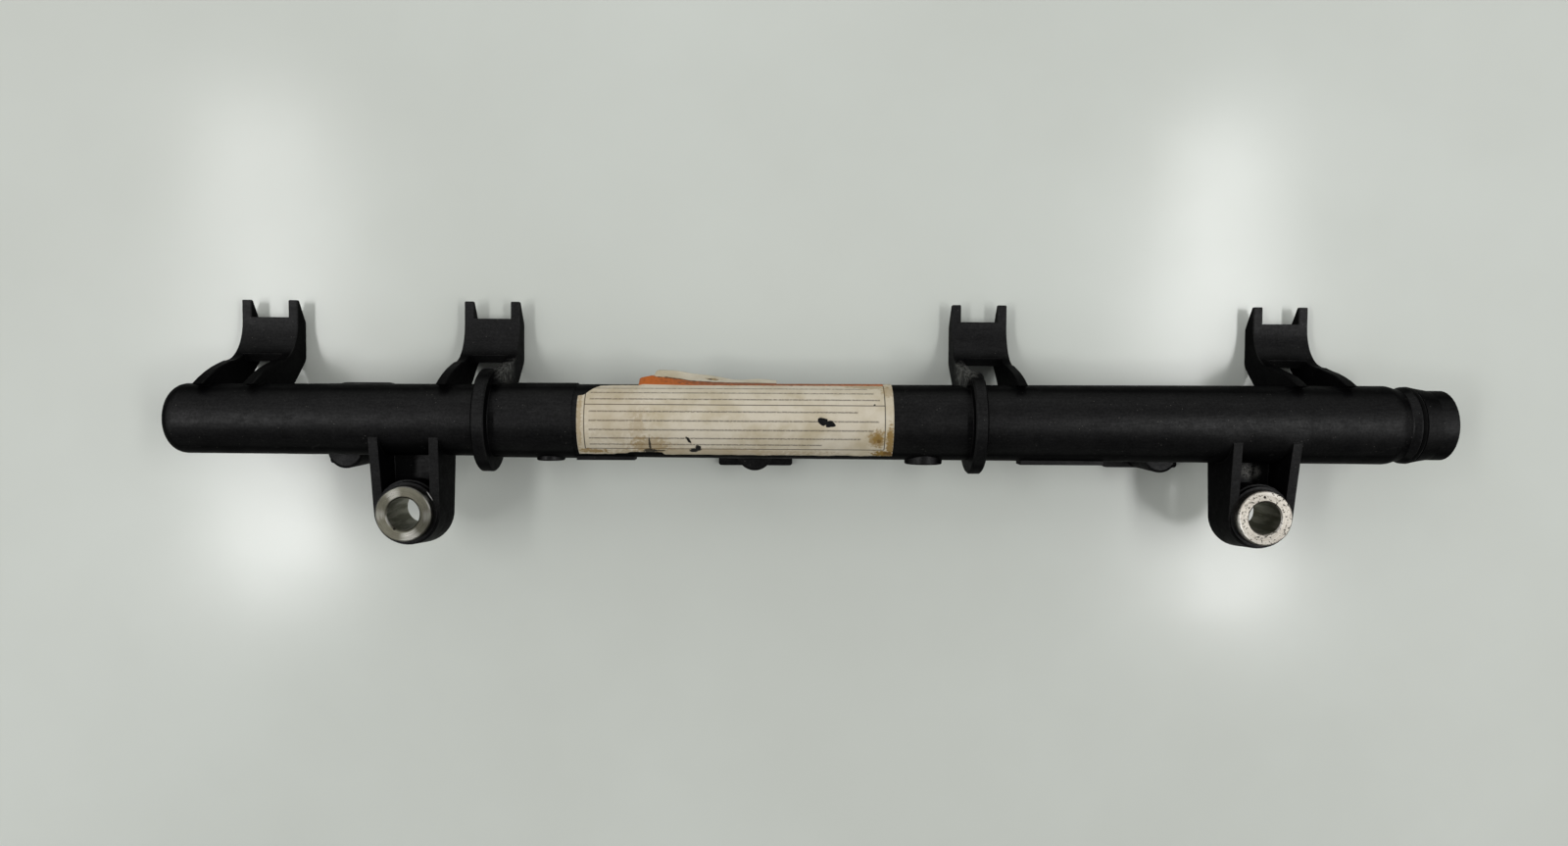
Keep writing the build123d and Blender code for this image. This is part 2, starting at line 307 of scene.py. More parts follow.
# The moulded rail. Places are in metres, in the part's own frame.
rail = {
    "black": (0.0018, 0.0018, 0.0020, 1),
    "greyer": (0.0032, 0.0032, 0.0034, 1),
    "clouds": {"Scale": 120.0, "Low": 0.38, "High": 0.66},
    "worn": (0.024, 0.024, 0.0235, 1),
    "edges": {"Radius": 0.35 * mm, "Amount": 0.6},
    "scratchesAlong": {"Stretch": (0.16, 1, 1), "Scale": 300.0, "Thickness": 0.010, "Cover": 0.56},
    "scratchesAround": {"Stretch": (1, 0.2, 0.2), "Scale": 340.0, "Thickness": 0.008, "Cover": 0.6},
    "scratchShare": 0.35,
    "scratchDepth": 0.5,
    "dust": (0.16, 0.155, 0.14, 1),
    "settled": {"Scale": 1000.0, "Amount": 0.55, "Film": 0.012},
    "dustRoughness": 0.35,
    "roughness": (0.37, 0.49),
    "roughnessNoise": (420.0, 5.0, 0.65),
    "shine": (0.19, 0.006),  # facing the eye, and turned from it
    "shineTurn": (0.16, 0.50),
    "unevenNoise": (0.35, 0.65),
    "streakStretch": (0.12, 1, 1),
    "streaks": (1500.0, 4.0, 0.7),
    "streakShine": (0.88, 1.12),
    "speckles": (1700.0, 3.0, 0.7),
    "speckleShine": (0.80, 1.22),
    "grainScale": 2600.0,
    "grainStrength": 0.22,
    "grainDepth": 0.05 * mm,
    # in the right bracket's pocket
    "scuff": {"Centre": (0.1323, -0.0127, 0.0228), "Size": (0.0027, 0.0020, 0.0012), "Ragged": 0.45,
              "Scale": 1500.0, "Soft": 0.35},
    "scuffColour": (0.28, 0.275, 0.255, 1),
    "scuffNoise": (1500.0, 4.0, 0.75),
    "scuffPatches": (0.40, 0.58),
    "scuffShare": 0.9,
    # beside the left bush
    "nick": {"Centre": (-0.0828, -0.0193, 0.0312), "Size": (0.0014, 0.00011, 0.0040),
             "Turn": math.radians(-57), "Ragged": 0.15, "Scale": 2500.0, "Soft": 0.2},
    "nickColour": (0.62, 0.62, 0.60, 1),
    # on the two middle forks
    "rubbed": [
        {"Centre": (-0.0646, 0.0145, 0.0220), "Size": (0.0034, 0.0052, 0.0090)},
        {"Centre": (0.0556, 0.0140, 0.0220), "Size": (0.0034, 0.0058, 0.0090)},
    ],
    "rubbedEdge": {"Ragged": 0.35, "Scale": 700.0, "Soft": 0.4},
    "rubbedColour": (0.100, 0.100, 0.094, 1),
    "rubbedStretch": (1, 0.25, 0.25),
    "rubbedNoise": (2200.0, 4.0, 0.7),
    "rubbedPatches": (0.35, 0.62),
}


def makeRailPlastic():
    material, tree, shader, place = newMaterial("black nylon")
    cloud = placed(tree, patches, Place=place, **rail["clouds"])["Mask"]
    worn = placed(tree, edgeWear, Place=place, **rail["edges"])
    along = placed(tree, scratches, Place=place, **rail["scratchesAlong"])["Mask"]
    around = placed(tree, scratches, Place=place, **rail["scratchesAround"])["Mask"]
    lines = calc(tree, "MAXIMUM", along, around)
    settled = placed(tree, dust, Place=place, **rail["settled"])["Mask"]
    scuff = placed(tree, spot, Place=place, **rail["scuff"])["Mask"]
    scuff = times(tree, scuff, spread(tree, cloudy(tree, place, *rail["scuffNoise"]), *rail["scuffPatches"]))
    nick = placed(tree, spot, Place=place, **rail["nick"])["Mask"]
    colour = mixed(tree, cloud, rail["black"], rail["greyer"])
    colour = mixed(tree, worn["Mask"], colour, rail["worn"])
    colour = mixed(tree, times(tree, lines, rail["scratchShare"]), colour, rail["worn"])
    colour = mixed(tree, settled, colour, rail["dust"])
    colour = mixed(tree, times(tree, scuff, rail["scuffShare"]), colour, rail["scuffColour"])
    scraped = cloudy(tree, stretched(tree, place, rail["rubbedStretch"]), *rail["rubbedNoise"])
    scraped = spread(tree, scraped, *rail["rubbedPatches"])
    for flank in rail["rubbed"]:
        rubbed = placed(tree, spot, Place=place, **flank, **rail["rubbedEdge"])["Mask"]
        colour = mixed(tree, times(tree, rubbed, scraped), colour, rail["rubbedColour"])
    colour = mixed(tree, nick, colour, rail["nickColour"])
    feed(tree, shader.inputs["Base Color"], colour)
    roughness = varied(tree, cloudy(tree, place, *rail["roughnessNoise"]), *rail["roughness"])
    dusty = times(tree, calc(tree, "MAXIMUM", settled, scuff), rail["dustRoughness"])
    feed(tree, shader.inputs["Roughness"], calc(tree, "ADD", roughness, dusty, clamp=True))
    aside = tree.nodes.new("ShaderNodeLayerWeight").outputs["Facing"]
    streaks = cloudy(tree, stretched(tree, place, rail["streakStretch"]), *rail["streaks"])
    streaks = spread(tree, streaks, *rail["unevenNoise"], *rail["streakShine"])
    speckles = cloudy(tree, place, *rail["speckles"])
    speckles = spread(tree, speckles, *rail["unevenNoise"], *rail["speckleShine"])
    shine = spread(tree, aside, *rail["shineTurn"], *rail["shine"])
    feed(tree, shader.inputs["Specular IOR Level"], times(tree, shine, times(tree, streaks, speckles)))
    height = placed(tree, grain, Place=place, Scale=rail["grainScale"])["Height"]
    height = calc(tree, "SUBTRACT", height, times(tree, lines, rail["scratchDepth"]))
    normal = bumped(tree, height, rail["grainStrength"], rail["grainDepth"], worn["Normal"])
    feed(tree, shader.inputs["Normal"], normal)
    return material


dress(nodes["rail_body"], makeRailPlastic())
print("rail dressed")


# The turned bushes: one warm and dull, one whiter and pitted. Both carry painted highlights: bright fans and
# rim lines coloured into the metal.
# A glint is a painted highlight: (angle in degrees, half width in degrees, inner and outer radius in mm,
# strength).
# A dot is (centre, size).
bushes = {
    "left_bush": {
        "colour": (0.112, 0.108, 0.085, 1),
        "dull": (0.072, 0.068, 0.050, 1),
        # bright is the colour of the painted highlights
        "bright": (0.37, 0.365, 0.335, 1),
        "roughness": (0.26, 0.42),
        "stainShare": 0.7,
        "pitCover": 0.72,
        "paintedGlints": [
            (116, 15, 4.7, 6.9, 0.75), (-178, 11, 4.7, 7.0, 0.5), (-73, 19, 4.7, 7.0, 0.85),
            (-5, 12, 5.0, 7.0, 0.5), (27, 15, 6.65, 7.1, 1.0), (-153, 18, 4.1, 4.6, 0.9),
            (119, 15, 4.2, 4.9, 0.5), (110, 60, 6.75, 7.1, 0.6),
        ],
        "dots": [((-0.09110, -0.02750, 0.0354), 0.32 * mm)],
    },
    "right_bush": {
        "colour": (0.41, 0.39, 0.345, 1),
        "dull": (0.28, 0.255, 0.22, 1),
        # bright is the colour of the painted highlights
        "bright": (0.64, 0.62, 0.59, 1),
        "roughness": (0.34, 0.48),
        "stainShare": 0.5,
        "pitCover": 0.60,
        "paintedGlints": [(-20, 22, 4.1, 4.6, 0.9), (200, 28, 6.4, 7.1, 0.8), (75, 16, 5.8, 7.0, 0.4)],
        "dots": [
            ((0.13083, -0.01827, 0.0354), 0.33 * mm), ((0.12896, -0.02917, 0.0354), 0.15 * mm),
            ((0.13555, -0.02152, 0.0354), 0.20 * mm),
        ],
    },
}
bushMetal = {  # what both bushes share
    "boreRadius": 4.15 * mm,
    "boreEdge": (0.01 * mm, 0.06 * mm),
    # The bore's two colours are painted shade and painted reflection streaks inside the hole.
    "paintedBoreShade": (0.14, 0.135, 0.09, 1),
    "paintedBoreSheen": (0.30, 0.29, 0.235, 1),
    "boreStretch": (1, 1, 0.15),
    "boreNoise": (520.0, 3.0, 0.6),
    "boreStreaks": (0.42, 0.62),
    "ringScale": 5200.0,
    "ringNoise": (1.0, 3.0, 0.7),
    "ringRange": (0.35, 0.75),
    "ringShare": 0.3,
    "arcLength": (1.6, 1.6, 0),  # more makes shorter arcs
    "arcNoise": (1.0, 4.0, 0.65),
    "arcRange": (0.40, 0.66),
    # The fan settings below shape the painted highlights.
    "fanUneven": 0.16,
    "fanFade": 1.5,  # where a fan ends, in its half widths
    "fanFull": 1.02,
    "fanInnerEdge": (-0.15, 0.25),
    "fanOuterEdge": (0.15, -0.15),
    "fanRange": (0.3, 0.6, 0.6, 1.0),
    "edges": {"Radius": 0.15 * mm, "Amount": 1.0},
    "stains": {"Scale": 420.0, "Low": 0.42, "High": 0.68},
    "pitScale": 1700.0,
    "pitEdge": (-0.04, 0.02),
    "pitColour": (0.05, 0.045, 0.04, 1),
    "pitDepth": 1.5,
    "dotColour": (0.012, 0.010, 0.008, 1),
    "dotEdge": {"Ragged": 0.25, "Scale": 2500.0, "Soft": 0.3},
    "roughAddition": 0.3,  # in the pits and in the bore
    "anisotropic": 0.6,
    "bumpStrength": 0.25,
    "bumpDepth": 0.02 * mm,
}


# A bush's axis stands upright in the middle of its box.
def axisPlace(node):
    xs = [corner[0] for corner in node.bound_box]
    ys = [corner[1] for corner in node.bound_box]
    return ((min(xs) + max(xs)) / 2, (min(ys) + max(ys)) / 2, 0)


def makeBushMetal(name, look):
    material, tree, shader, place = newMaterial(name.replace("_", " ") + " steel")
    outward = stretched(tree, vectorCalc(tree, "SUBTRACT", place, axisPlace(nodes[name])), (1, 1, 0))
    toward = vectorCalc(tree, "NORMALIZE", outward)
    radius = vectorCalc(tree, "LENGTH", outward)
    rings = tree.nodes.new("ShaderNodeCombineXYZ")
    feed(tree, rings.inputs["X"], times(tree, radius, bushMetal["ringScale"]))
    turning = cloudy(tree, rings.outputs[0], *bushMetal["ringNoise"])
    arcPlace = vectorCalc(tree, "ADD", stretched(tree, toward, bushMetal["arcLength"]), rings.outputs[0])
    arcs = cloudy(tree, arcPlace, *bushMetal["arcNoise"])
    worn = placed(tree, edgeWear, Place=place, **bushMetal["edges"])
    stains = placed(tree, patches, Place=place, **bushMetal["stains"])["Mask"]
    pitLow, pitHigh = (look["pitCover"] + edge for edge in bushMetal["pitEdge"])
    pits = placed(tree, patches, Place=place, Scale=bushMetal["pitScale"], Low=pitLow, High=pitHigh)["Mask"]
    boreEnd, faceStart = (bushMetal["boreRadius"] + edge for edge in bushMetal["boreEdge"])
    inBore = inverted(tree, spread(tree, radius, boreEnd, faceStart))
    uneven = times(tree, calc(tree, "SUBTRACT", arcs, 0.5), bushMetal["fanUneven"])
    paintedGlints = 0.0
    for angle, half, inner, outer, strength in look["paintedGlints"]:
        way = (math.cos(math.radians(angle)), math.sin(math.radians(angle)), 0)
        near = calc(tree, "ADD", vectorCalc(tree, "DOT_PRODUCT", toward, way), uneven)
        fanEnd = math.cos(math.radians(half * bushMetal["fanFade"]))
        wedge = spread(tree, near, fanEnd, bushMetal["fanFull"], 0.0, strength)
        insideEdge = spread(tree, radius, *((inner + edge) * mm for edge in bushMetal["fanInnerEdge"]))
        outsideEdge = spread(tree, radius, *((outer + edge) * mm for edge in bushMetal["fanOuterEdge"]))
        paintedGlint = times(tree, wedge, times(tree, insideEdge, outsideEdge))
        paintedGlints = calc(tree, "MAXIMUM", paintedGlints, paintedGlint)
    dulled = times(tree, stains, look["stainShare"])
    worked = calc(tree, "MAXIMUM", dulled, spread(tree, arcs, *bushMetal["arcRange"]))
    colour = mixed(tree, worked, look["colour"], look["dull"])
    # Painted highlights: the fans and rim lines stand for lamps reflected in the turned faces.
    paintedFans = times(tree, paintedGlints, spread(tree, arcs, *bushMetal["fanRange"]))
    colour = mixed(tree, paintedFans, colour, look["bright"])
    grooves = spread(tree, turning, *bushMetal["ringRange"], 0.0, bushMetal["ringShare"])
    colour = mixed(tree, grooves, colour, look["dull"])
    colour = mixed(tree, pits, colour, bushMetal["pitColour"])
    for centre, size in look["dots"]:
        shape = {"Centre": centre, "Size": (size, size, 1)}
        dot = placed(tree, spot, Place=place, **shape, **bushMetal["dotEdge"])["Mask"]
        colour = mixed(tree, dot, colour, bushMetal["dotColour"])
    # Inside the hole the metal is painted darker as shade, with streaks of painted reflection.
    streaks = cloudy(tree, stretched(tree, place, bushMetal["boreStretch"]), *bushMetal["boreNoise"])
    streaks = spread(tree, streaks, *bushMetal["boreStreaks"])
    bore = mixed(tree, streaks, bushMetal["paintedBoreShade"], bushMetal["paintedBoreSheen"])
    feed(tree, shader.inputs["Base Color"], mixed(tree, inBore, colour, bore))
    shader.inputs["Metallic"].default_value = 1.0
    rough = times(tree, calc(tree, "MAXIMUM", pits, inBore), bushMetal["roughAddition"])
    roughness = calc(tree, "ADD", varied(tree, turning, *look["roughness"]), rough, clamp=True)
    feed(tree, shader.inputs["Roughness"], roughness)
    shader.inputs["Anisotropic"].default_value = bushMetal["anisotropic"]
    around = vectorCalc(tree, "NORMALIZE", vectorCalc(tree, "CROSS_PRODUCT", (0, 0, 1), outward))
    feed(tree, shader.inputs["Tangent"], around)
    height = calc(tree, "SUBTRACT", turning, times(tree, pits, bushMetal["pitDepth"]))
    normal = bumped(tree, height, bushMetal["bumpStrength"], bushMetal["bumpDepth"], worn["Normal"])
    feed(tree, shader.inputs["Normal"], normal)
    return material


for name, look in bushes.items():
    dress(nodes[name], makeBushMetal(name, look))
print("bushes dressed")


# The rubber ring on the spigot
seal = {
    "black": (0.0012, 0.0012, 0.0012, 1),
    "greyer": (0.0022, 0.0022, 0.0022, 1),
    "clouds": {"Scale": 500.0, "Low": 0.4, "High": 0.65},
    "dust": (0.03, 0.03, 0.028, 1),
    "settled": {"Scale": 1400.0, "Amount": 0.3},
    "roughness": (0.55, 0.7),
    "roughnessScale": 800.0,
    "shine": 0.06,
    "grainScale": 4000.0,
    "grainStrength": 0.15,
    "grainDepth": 0.03 * mm,
}


def makeSealRubber():
    material, tree, shader, place = newMaterial("black rubber")
    cloud = placed(tree, patches, Place=place, **seal["clouds"])["Mask"]
    settled = placed(tree, dust, Place=place, **seal["settled"])["Mask"]
    colour = mixed(tree, cloud, seal["black"], seal["greyer"])
    feed(tree, shader.inputs["Base Color"], mixed(tree, settled, colour, seal["dust"]))
    roughness = varied(tree, cloudy(tree, place, seal["roughnessScale"]), *seal["roughness"])
    feed(tree, shader.inputs["Roughness"], roughness)
    shader.inputs["Specular IOR Level"].default_value = seal["shine"]
    height = placed(tree, grain, Place=place, Scale=seal["grainScale"])["Height"]
    feed(tree, shader.inputs["Normal"], bumped(tree, height, seal["grainStrength"], seal["grainDepth"]))
    return material


dress(nodes["seal_ring"], makeSealRubber())
print("seal ring dressed")


# The paper label. Places on the paper are (along the tube, round the tube from its top), in mm.
paper = {
    "startX": -44.9,
    "endX": 35.5,
    "columns": 200,
    "rows": 54,
    "farRows": 24,  # on the flap, and behind the tube
    "gap": 0.03,
    "thickness": 0.13,
    "frontEdge": -9.95,
    "rearEdge": 20.9,
    "tornCorner": [  # along the tube, the rear edge round it
        (-44.9, 7.1), (-43.2, 7.6), (-42.4, 8.6), (-41.2, 10.2), (-39.7, 11.6), (-36.0, 12.2), (-29.9, 12.3),
    ],
    "frontTear": [  # along the tube, how far back the front edge is torn
        (-35.9, 0.0), (-35.2, 0.45), (-32.6, 0.5), (-31.9, 1.1), (-28.0, 1.25), (-23.6, 1.1), (-23.0, 0.0),
    ],
    "peelColumns": (37, 126),  # the flap's first and last
    "peelAngles": [  # along the tube, degrees round it where the flap leaves it
        (-30.0, 72.0), (-28.8, 62.5), (-25.5, 63.0), (-21.3, 66.0), (-17.5, 72.5), (-13.5, 77.5),
        (-10.0, 81.0), (-6.5, 83.0), (0.0, 84.5), (6.0, 86.0),
    ],
    "flapEdge": [  # along the tube, the flap's width there
        (-30.2, 4.1), (-29.0, 4.8), (-27.4, 5.5), (-26.4, 6.3), (-26.1, 8.6), (-25.3, 9.4), (-13.5, 9.4),
        (-1.5, 8.5), (5.8, 7.4),
    ],
    "flapCurl": 0.75,
    "flapCurlWave": (9.0, 11.0),  # a wave is (size, seed)
    "flapCurlLeast": 0.6,
    "frontRagged": (0.10, 0.9, 1.0),  # a ragged edge is (depth, size, seed)
    "cornerRagged": (0.25, 0.7, 5.0),
    "flapRagged": (0.15, 0.8, 9.0),
    "edgeLift": 0.22,
    "edgeLiftWidth": 0.8,
    "edgeLiftWave": (5.0, 3.0),
    "edgeLiftShare": 0.25,
    "ripple": 0.03,
    "rippleWave": (3.5, 7.0),
    "rippleLeast": 0.6,
    "holes": [{"centre": (18.3, 0.15), "half": (2.4, 1.0), "turn": -0.30}],
    "holeWaves": ((3, 0.06, 0.7), (5, 0.04, 2.0), (9, 0.02, 0.0)),  # count round the hole, depth, start
    "holePull": 0.6,
}
# The tube under the paper widens a little from its closed end to the spigot.
tube = {"endX": -150.8, "endRadius": 9.05, "taper": 0.00411, "axisZ": 26.5}


def tubeRadius(x):
    return tube["endRadius"] + (x - tube["endX"]) * tube["taper"]


# The height of a line through the points, at x
def followed(points, x):
    if x <= points[0][0]:
        return points[0][1]
    for (x0, y0), (x1, y1) in zip(points, points[1:]):
        if x <= x1:
            return y0 + (y1 - y0) * (x - x0) / (x1 - x0)
    return points[-1][1]


def wobble(x, y, size, seed):
    return noise.noise(Vector((x / size, y / size, seed)))


def ragged(x, edge):
    depth, size, seed = paper[edge]
    return depth * wobble(x, 0, size, seed)


def peelAngle(x):
    return math.radians(followed(paper["peelAngles"], x))


def columnX(j):
    return paper["startX"] + (paper["endX"] - paper["startX"]) * j / paper["columns"]


def frontEdge(x):
    return paper["frontEdge"] + followed(paper["frontTear"], x) + ragged(x, "frontRagged")


def mainTop(x, j):
    if j < paper["peelColumns"][0]:
        return followed(paper["tornCorner"], x) + ragged(x, "cornerRagged")
    return peelAngle(x) * tubeRadius(x)


# Stuck paper ripples a little, and its front edge lifts in places.
def stuckPoint(x, s):
    radius = tubeRadius(x) + paper["gap"]
    nearEdge = max(0.0, 1.0 - abs(s - frontEdge(x)) / paper["edgeLiftWidth"])
    loose = max(0.0, wobble(x, 0, *paper["edgeLiftWave"]) + paper["edgeLiftShare"])
    ripple = paper["ripple"] * (wobble(x, s, *paper["rippleWave"]) + paper["rippleLeast"])
    radius += paper["edgeLift"] * nearEdge * loose + ripple
    angle = s / tubeRadius(x)
    return Vector((x, radius * math.sin(angle), tube["axisZ"] + radius * math.cos(angle)))


# The flap leaves the tube straight on and curls outward towards its edge.
def liftedPoint(x, distance, reach):
    angle = peelAngle(x)
    base = stuckPoint(x, angle * tubeRadius(x))
    along = Vector((0, math.cos(angle), -math.sin(angle)))
    out = Vector((0, math.sin(angle), math.cos(angle)))
    share = distance / reach
    curlWave = wobble(x, distance, *paper["flapCurlWave"])
    curl = paper["flapCurl"] * share ** 2 * (paper["flapCurlLeast"] + curlWave)
    return base + along * distance + out * curl


# How far a place is from a hole's middle, with 1 on the hole's ragged outline
def holeReach(hole, x, s):
    dx = x - hole["centre"][0]
    ds = s - hole["centre"][1]
    turn = hole["turn"]
    u = (dx * math.cos(turn) + ds * math.sin(turn)) / hole["half"][0]
    v = (ds * math.cos(turn) - dx * math.sin(turn)) / hole["half"][1]
    way = math.atan2(v, u)
    outline = 1.0
    for count, depth, start in paper["holeWaves"]:
        outline += depth * math.sin(count * way + start)
    return math.hypot(u, v) / outline


# A grid of columns along the tube. Its rows run round the front, then over the flap or the tube's far side.
def makeLabelMesh():
    points = []
    flat = []
    index = {}
    faces = []
    onOutline = 1.001
    peelFirst, peelLast = paper["peelColumns"]

    def add(key, point, place):
        index[key] = len(points)
        points.append(point)
        flat.append(place)

    for j in range(paper["columns"] + 1):
        x = columnX(j)
        low = frontEdge(x)
        top = mainTop(x, j)
        for i in range(paper["rows"] + 1):
            s = low + (top - low) * i / paper["rows"]
            for hole in paper["holes"]:
                reach = holeReach(hole, x, s)
                if paper["holePull"] < reach < 1.0:  # a point just inside moves onto the outline
                    x, s = (c + (p - c) / reach for c, p in zip(hole["centre"], (x, s)))
            add((j, i), stuckPoint(x, s), (x, s))
            x = columnX(j)
        if j >= peelFirst:
            lifted = j <= peelLast
            reach = followed(paper["flapEdge"], x) if lifted else paper["rearEdge"] - top
            reach += ragged(x, "flapRagged")
            for i in range(1, paper["farRows"] + 1):
                distance = reach * i / paper["farRows"]
                point = liftedPoint(x, distance, reach) if lifted else stuckPoint(x, top + distance)
                add((j, paper["rows"] + i), point, (x, top + distance))
    for j in range(paper["columns"]):
        for i in range(paper["rows"] + paper["farRows"]):
            corners = [(j, i), (j + 1, i), (j + 1, i + 1), (j, i + 1)]
            slit = j == peelLast and i >= paper["rows"]  # the flap is torn free on its right
            if slit or any(key not in index for key in corners):
                continue
            places = [flat[index[key]] for key in corners]
            inHole = (all(holeReach(hole, *place) < onOutline for place in places) for hole in paper["holes"])
            if not any(inHole):
                faces.append([index[key] for key in corners])
    mesh = bpy.data.meshes.new("labelPaper")
    mesh.from_pydata([point * mm for point in points], [], faces)
    mesh.attributes.new("flatPlace", "FLOAT_VECTOR", "POINT")
    for item, (x, s) in zip(mesh.attributes["flatPlace"].data, flat):
        item.vector = (x, s, 0)
    mesh.polygons.foreach_set("use_smooth", [True] * len(mesh.polygons))
    return mesh


# What is printed on the paper and what has soiled it, in mm on the flat paper. The rules are blank.
printing = {
    "cream": (0.675, 0.615, 0.495, 1),
    "aged": (0.49, 0.415, 0.27, 1),
    "ageing": {"Scale": 0.10, "Low": 0.38, "High": 0.72},
    "ageingShare": 0.8,
    "freckles": {"Scale": 1.6, "Low": 0.62, "High": 0.74},
    "freckleShare": 0.35,
    "orange": (0.50, 0.125, 0.018, 1),
    "header": {"Centre": (-4.9, 14.35, 0), "Half": (38.2, 2.05, 0), "Soft": 0.08},
    "ink": (0.045, 0.041, 0.036, 1),
    "lines": [  # centre, half size
        ((-43.0, 0.7), (0.13, 8.1)), ((33.25, 2.5), (0.13, 9.9)),
        ((-4.9, -7.42), (38.2, 0.12)), ((-4.9, 4.57), (38.2, 0.12)),
    ],
    "lineSoft": 0.06,
    "lineShare": 0.9,
    "rules": [  # place round the tube, right end
        (10.2, 29.0), (8.3, 30.5), (6.15, 32.0), (2.74, 26.3),
        (0.42, 31.7), (-1.87, 30.3), (-4.12, 27.1), (-5.95, 17.3),
    ],
    "ruleStart": -41.8,
    "ruleHalf": 0.20,
    "ruleSoft": 0.12,
    "ruleShare": 0.7,
    "ruleWear": (2.2, 4.0, 0.7),
    "ruleWearPatches": (0.30, 0.55),
    "brown": (0.27, 0.165, 0.040, 1),
    "scorched": (0.085, 0.032, 0.010, 1),
    "stains": [  # centre, half size, strength, colour
        ((31.4, -4.1), (2.1, 2.4), 0.75, "brown"), ((31.4, -4.0), (1.1, 1.2), 0.85, "brown"),
        ((34.7, -5.2), (0.9, 4.6), 0.90, "brown"), ((33.2, -8.9), (2.9, 1.1), 1.0, "brown"),
        ((34.4, -8.8), (1.2, 0.8), 0.55, "scorched"), ((31.8, -4.6), (0.5, 0.5), 0.45, "scorched"),
        ((34.2, 9.5), (1.6, 2.2), 0.45, "brown"), ((29.0, 11.4), (5.0, 1.0), 0.45, "brown"),
        ((-29.5, -2.0), (1.8, 4.4), 0.25, "brown"), ((-26.5, -6.4), (4.8, 2.4), 0.50, "brown"),
        ((-41.0, -8.4), (3.4, 0.9), 0.80, "brown"), ((-11.0, 19.3), (1.7, 1.1), 0.80, "brown"),
        # The wide band at (-12.0, -8.8) makes the paper darker towards its front edge, the bottom of the
        # label.
        ((-12.0, -8.8), (26.0, 1.6), 0.35, "brown"), ((-44.3, 0.0), (0.6, 9.0), 0.45, "brown"),
        ((-36.0, 3.0), (9.0, 8.0), 0.16, "brown"), ((7.0, 14.4), (27.0, 1.9), 0.60, "scorched"),
        ((-7.0, 16.2), (16.0, 0.6), 0.75, "scorched"), ((-20.0, 16.4), (6.0, 0.35), 0.55, "scorched"),
    ],
    "stainEdge": {"Ragged": 0.6, "Scale": 1.1, "Soft": 0.35},
    "burnt": (0.012, 0.011, 0.010, 1),
    "marks": [  # centre, half size, turn, darkness
        ((-15.3, -7.95), (1.20, 0.80), 0.2, 1.0), ((-14.2, -7.1), (0.75, 1.00), 0.1, 1.0),
        ((-16.6, -4.6), (0.36, 1.15), 0.55, 1.0), ((-26.5, -5.9), (0.30, 1.9), 0.05, 0.9),
        ((-26.5, -8.2), (1.7, 0.75), 0.0, 0.9), ((-24.2, -8.2), (1.8, 0.28), 0.0, 0.8),
        ((30.6, 4.8), (0.26, 0.26), 0.0, 0.9), ((-11.9, 19.0), (0.6, 0.5), 0.0, 0.9),
        ((-25.2, 20.3), (1.0, 0.18), 0.1, 0.6),
    ],
    "markEdge": {"Ragged": 0.4, "Scale": 2.5, "Soft": 0.12},
    "roughness": (0.48, 0.7),
    "roughnessScale": 1.2,
    "shine": 0.2,
    "fibres": (5.0, 5.0, 0.7),
    "creases": (0.45, 3.0, 0.6, 0.5),
    "creaseDepth": 3.0,
    "bumpStrength": 0.3,
    "bumpDepth": 0.06 * mm,
}


def makePrintedPaper():
    material, tree, shader, _ = newMaterial("printed paper")
    flat = tree.nodes.new("ShaderNodeAttribute")
    flat.attribute_name = "flatPlace"
    where = flat.outputs["Vector"]
    ageing = placed(tree, patches, Place=where, **printing["ageing"])["Mask"]
    freckles = placed(tree, patches, Place=where, **printing["freckles"])["Mask"]
    colour = mixed(tree, times(tree, ageing, printing["ageingShare"]), printing["cream"], printing["aged"])
    colour = mixed(tree, times(tree, freckles, printing["freckleShare"]), colour, printing["aged"])
    header = placed(tree, printedBox, Place=where, **printing["header"])["Mask"]
    colour = mixed(tree, header, colour, printing["orange"])
    for centre, half in printing["lines"]:
        box = {"Centre": (*centre, 0), "Half": (*half, 0), "Soft": printing["lineSoft"]}
        line = placed(tree, printedBox, Place=where, **box)["Mask"]
        colour = mixed(tree, times(tree, line, printing["lineShare"]), colour, printing["ink"])
    ruleWear = spread(tree, cloudy(tree, where, *printing["ruleWear"]), *printing["ruleWearPatches"])
    for s, endX in printing["rules"]:
        middle = (printing["ruleStart"] + endX) / 2
        half = (endX - middle, printing["ruleHalf"], 0)
        box = {"Centre": (middle, s, 0), "Half": half, "Soft": printing["ruleSoft"]}
        rule = times(tree, placed(tree, printedBox, Place=where, **box)["Mask"], ruleWear)
        colour = mixed(tree, times(tree, rule, printing["ruleShare"]), colour, printing["ink"])
    for centre, half, strength, kind in printing["stains"]:
        shape = {"Centre": (*centre, 0), "Size": (*half, 1)}
        stain = placed(tree, spot, Place=where, **shape, **printing["stainEdge"])["Mask"]
        colour = mixed(tree, times(tree, stain, strength), colour, printing[kind])
    for centre, half, turn, darkness in printing["marks"]:
        shape = {"Centre": (*centre, 0), "Size": (*half, 1), "Turn": turn}
        mark = placed(tree, spot, Place=where, **shape, **printing["markEdge"])["Mask"]
        colour = mixed(tree, times(tree, mark, darkness), colour, printing["burnt"])
    feed(tree, shader.inputs["Base Color"], colour)
    roughness = varied(tree, cloudy(tree, where, printing["roughnessScale"]), *printing["roughness"])
    feed(tree, shader.inputs["Roughness"], roughness)
    shader.inputs["Specular IOR Level"].default_value = printing["shine"]
    fibres = cloudy(tree, where, *printing["fibres"])
    creases = cloudy(tree, where, *printing["creases"])
    height = calc(tree, "ADD", fibres, times(tree, creases, printing["creaseDepth"]))
    feed(tree, shader.inputs["Normal"], bumped(tree, height, printing["bumpStrength"], printing["bumpDepth"]))
    return material


